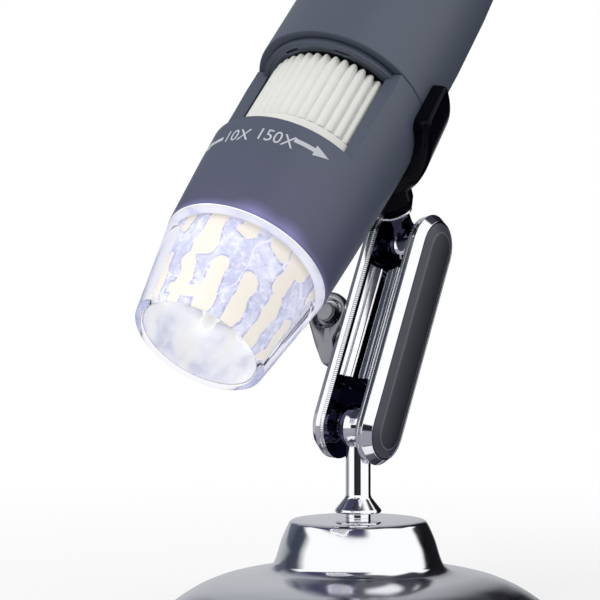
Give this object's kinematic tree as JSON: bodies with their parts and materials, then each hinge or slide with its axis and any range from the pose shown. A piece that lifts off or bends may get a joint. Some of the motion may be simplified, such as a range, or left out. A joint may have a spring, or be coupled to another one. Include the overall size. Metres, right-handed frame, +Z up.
{
  "type": "handheld digital microscope",
  "caption": "Handheld digital microscope with a ribbed focus wheel and a clear lens cap, held by a spring clip on a ball-joint clamp arm over a round weighted base.",
  "frame": {"origin": "centre of the underside of the round base, on the table", "axes": "+Z up along the post, -Y towards the pictured side, +X to its right; lengths in metres"},
  "size_m": [0.0738, 0.0857, 0.1417],
  "materials": {
    "chrome": "polished",
    "iron": "matte",
    "zinc_screw": "satin",
    "foot_rubber": "matte",
    "inlay": "satin",
    "satin_steel": "satin",
    "lever_chrome": "satin",
    "clip_black": "glossy",
    "clear_cap": "glossy",
    "casing": "satin",
    "black_rubber": "matte",
    "black_plastic": "matte",
    "board_green": "satin",
    "board_white": "satin",
    "led_lens": "glossy",
    "chip_black": "satin",
    "ivory_wheel": "satin",
    "lens_glass": "glossy",
    "button_dark": "satin"
  },
  "bodies": {
    "base": {"base_shell": "chrome", "base_ballast": "iron", "ballast_screws": "zinc_screw", "foot_pad": "foot_rubber"},
    "post": {"ball_post": "chrome", "post_washer": "zinc_screw", "post_screw": "zinc_screw"},
    "arm": {"arm_plate_right": "chrome", "arm_plate_left": "chrome", "arm_inlay_right": "inlay", "arm_inlay_left": "inlay", "clamp_bolt": "satin_steel", "clamp_saddle": "satin_steel", "lever_pin": "satin_steel"},
    "lever": {"clamp_lever": "lever_chrome"},
    "stud": {"clip_stud": "chrome", "clip_screw": "zinc_screw"},
    "clip": {"clip_sleeve": "clip_black"},
    "microscope": {"nose_cap": "clear_cap", "front_casing": "casing", "rear_casing": "casing", "rear_cap": "casing", "cable_grommet": "black_rubber", "lens_chassis": "black_plastic", "led_board": "board_white", "leds": "led_lens", "sensor_board": "board_green", "image_sensor": "chip_black", "board_screws": "zinc_screw", "main_board": "board_green", "board_chips": "chip_black", "tact_switch": "black_plastic", "dimmer_pot": "black_plastic"},
    "wheel": {"focus_wheel": "ivory_wheel"},
    "lens_group": {"lens_carrier": "black_plastic", "objective_lens": "lens_glass", "relay_lens": "lens_glass", "lens_retainer": "black_plastic"},
    "button": {"snapshot_button": "button_dark"},
    "dial": {"led_dial": "button_dark"}
  },
  "joints": [
    {"name": "post_swivel", "type": "hinge", "parent": "base", "child": "post", "pos_m": [0, 0, 0.0175], "axis": [0, 0, 1], "continuous": true},
    {"name": "arm_tilt", "type": "hinge", "parent": "post", "child": "arm", "pos_m": [0, 0, 0.035], "axis": [0.8173, -0.5652, -0.1123], "range_deg": [-40, 30]},
    {"name": "lever_turn", "type": "hinge", "parent": "arm", "child": "lever", "pos_m": [-0.00428, 0.01099, 0.05537], "axis": [0.5076, 0.7983, -0.3242], "range_deg": [0, 90]},
    {"name": "stud_tilt", "type": "hinge", "parent": "arm", "child": "stud", "pos_m": [0.00982, 0.00749, 0.06882], "axis": [0.8173, -0.5652, -0.1123], "range_deg": [-40, 20]},
    {"name": "clip_roll", "type": "hinge", "parent": "stud", "child": "clip", "pos_m": [0.00982, 0.00749, 0.06882], "axis": [0.3218, 0.4104, -0.8533], "range_deg": [-90, 90]},
    {"name": "barrel_slide", "type": "slide", "parent": "clip", "child": "microscope", "axis": [0.4094, 0.5222, 0.7481], "range_m": [-0.005, 0.005]},
    {"name": "focus_turn", "type": "hinge", "parent": "microscope", "child": "wheel", "pos_m": [-0.0277, -0.04038, 0.05058], "axis": [0.4094, 0.5222, 0.7481], "range_deg": [-150, 150]},
    {"name": "lens_focus", "type": "slide", "parent": "microscope", "child": "lens_group", "axis": [0.4094, 0.5222, 0.7481], "range_m": [-0.0047, 0.0047]},
    {"name": "button_press", "type": "slide", "parent": "microscope", "child": "button", "axis": [0.3476, 0.6689, -0.6571], "range_m": [0, 0.0006], "stiffness_N_per_m": 400, "springref_m": -0.0002},
    {"name": "dial_turn", "type": "hinge", "parent": "microscope", "child": "dial", "pos_m": [0.00705, 0.00127, 0.12947], "axis": [0.8435, -0.5291, -0.0923], "range_deg": [-130, 130]}
  ],
  "couplings": [
    {"joint": "lens_focus", "follows": "focus_turn", "m_per_rad": 0.00179}
  ]
}
